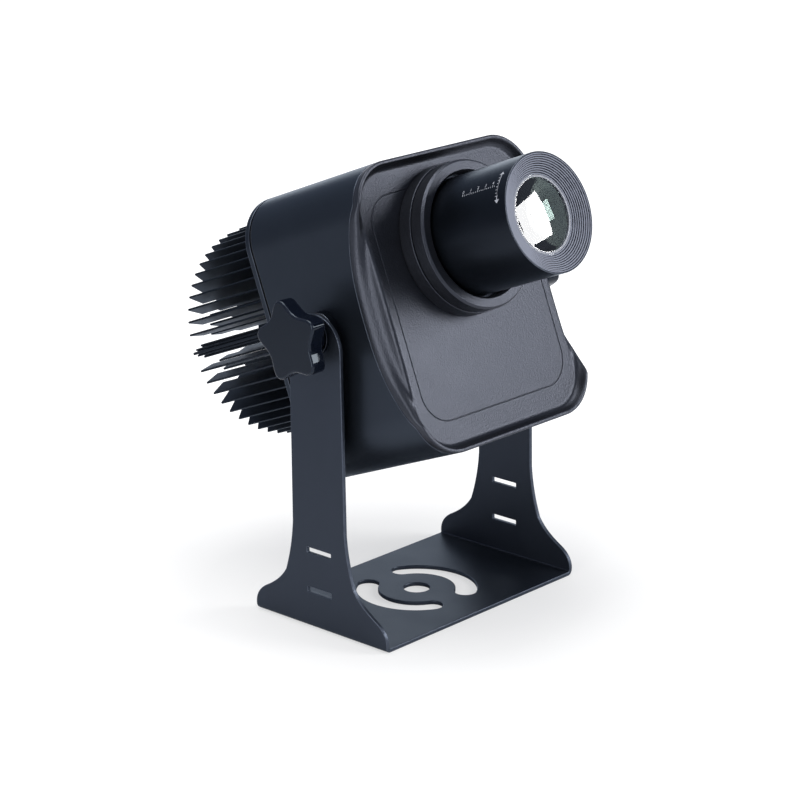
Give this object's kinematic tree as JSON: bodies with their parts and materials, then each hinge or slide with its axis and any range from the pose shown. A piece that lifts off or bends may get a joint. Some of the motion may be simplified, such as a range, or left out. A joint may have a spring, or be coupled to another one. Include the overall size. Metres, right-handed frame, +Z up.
{
  "type": "gobo projector",
  "caption": "Gobo projector: a boxy tilting head with a turning lens barrel in front and a round finned heatsink behind, held in a folded yoke by star knobs.",
  "frame": {"origin": "on the floor under the middle of the whole object", "axes": "+Z up, the lens points to -Y and up, +X to the side along the tilt axis"},
  "size_m": [0.214, 0.2656, 0.2893],
  "materials": {
    "satin_coat": "satin black powder coat on folded steel sheet",
    "smooth_coat": "smooth satin black powder coat on aluminium",
    "textured_coat": "fine sand-textured black powder coat on aluminium",
    "black_anodised": "satin black anodised aluminium",
    "bright_aluminium": "turned aluminium, clear",
    "optical_glass": "polished optical glass with a green-violet coating",
    "gloss_plastic": "glossy black moulded plastic",
    "matt_plastic": "matt black moulded plastic",
    "rubber": "black rubber",
    "plated_steel": "zinc-plated steel",
    "board": "white ceramic board",
    "phosphor": "yellow phosphor",
    "red_silicone": "red silicone insulation",
    "black_silicone": "black silicone insulation"
  },
  "bodies": {
    "yoke": {"yoke_bracket": "satin_coat"},
    "head": {"housing_sleeve": "smooth_coat", "rear_cover": "smooth_coat", "front_cover": "textured_coat", "collar_base": "textured_coat", "collar_ring": "textured_coat", "lens_guide": "black_anodised", "pivot_boss_left": "black_anodised", "pivot_boss_right": "black_anodised", "heatsink": "black_anodised", "condenser_ring": "black_anodised", "gobo_gate": "black_anodised", "condenser_tube": "bright_aluminium", "condenser_spacer": "bright_aluminium", "led_driver": "bright_aluminium", "condenser_lens_rear": "optical_glass", "condenser_lens_front": "optical_glass", "led_holder": "matt_plastic", "gland_body": "matt_plastic", "gland_cap": "matt_plastic", "gland_lock_nut": "matt_plastic", "rear_seal": "rubber", "gland_seal": "rubber", "friction_washer_left": "rubber", "friction_washer_right": "rubber", "rear_cover_screw_1": "plated_steel", "rear_cover_screw_2": "plated_steel", "rear_cover_screw_3": "plated_steel", "rear_cover_screw_4": "plated_steel", "heatsink_screw_1": "plated_steel", "heatsink_screw_2": "plated_steel", "heatsink_screw_3": "plated_steel", "heatsink_screw_4": "plated_steel", "led_holder_screw_1": "plated_steel", "led_holder_screw_2": "plated_steel", "driver_bracket": "plated_steel", "pivot_nut_left": "plated_steel", "pivot_nut_right": "plated_steel", "led_board": "board", "led_emitter": "phosphor", "led_lead_1": "red_silicone", "led_lead_2": "black_silicone"},
    "focus_carriage": {"focus_cell": "black_anodised", "rear_lens": "optical_glass", "rear_lens_ring": "black_anodised"},
    "lens_barrel": {"lens_barrel": "black_anodised", "lens_front_ring": "black_anodised", "front_lens": "optical_glass", "lens_retaining_ring": "bright_aluminium"},
    "gobo_carrier": {"gobo_holder": "bright_aluminium", "gobo_glass": "optical_glass", "gobo_ring": "plated_steel"},
    "clamp_left": {"knob_washer_left": "black_anodised"},
    "clamp_right": {"knob_washer_right": "black_anodised"},
    "knob_left": {"knob_grip_left": "gloss_plastic", "knob_stud_left": "plated_steel"},
    "knob_right": {"knob_grip_right": "gloss_plastic", "knob_stud_right": "plated_steel"}
  },
  "joints": [
    {"name": "head_tilt", "type": "hinge", "parent": "yoke", "child": "head", "pos_m": [0, -0.01528, 0.1835], "axis": [-1, 0, 0], "range_deg": [-111.3, 68.7]},
    {"name": "focus_slide", "type": "slide", "parent": "head", "child": "focus_carriage", "axis": [0, -0.9317, 0.3633], "range_m": [-0.0061, 0.0081]},
    {"name": "focus_turn", "type": "hinge", "parent": "focus_carriage", "child": "lens_barrel", "pos_m": [0, -0.00446, 0.21126], "axis": [0, -0.9317, 0.3633], "range_deg": [-270, 360]},
    {"name": "gobo_turn", "type": "hinge", "parent": "head", "child": "gobo_carrier", "pos_m": [0, -0.00446, 0.21126], "axis": [0, -0.9317, 0.3633], "continuous": true},
    {"name": "clamp_left_slide", "type": "slide", "parent": "head", "child": "clamp_left", "axis": [-1, 0, 0], "range_m": [0, 0.0025]},
    {"name": "knob_left_turn", "type": "hinge", "parent": "clamp_left", "child": "knob_left", "pos_m": [0, -0.01528, 0.1835], "axis": [-1, 0, 0], "range_deg": [0, 720]},
    {"name": "clamp_right_slide", "type": "slide", "parent": "head", "child": "clamp_right", "axis": [1, 0, 0], "range_m": [0, 0.0025]},
    {"name": "knob_right_turn", "type": "hinge", "parent": "clamp_right", "child": "knob_right", "pos_m": [0, -0.01528, 0.1835], "axis": [1, 0, 0], "range_deg": [0, 720]}
  ],
  "couplings": [
    {"joint": "focus_slide", "follows": "focus_turn", "m_per_rad": 0.0012732},
    {"joint": "knob_left_turn", "follows": "clamp_left_slide", "rad_per_m": 5026.5},
    {"joint": "knob_right_turn", "follows": "clamp_right_slide", "rad_per_m": 5026.5}
  ]
}
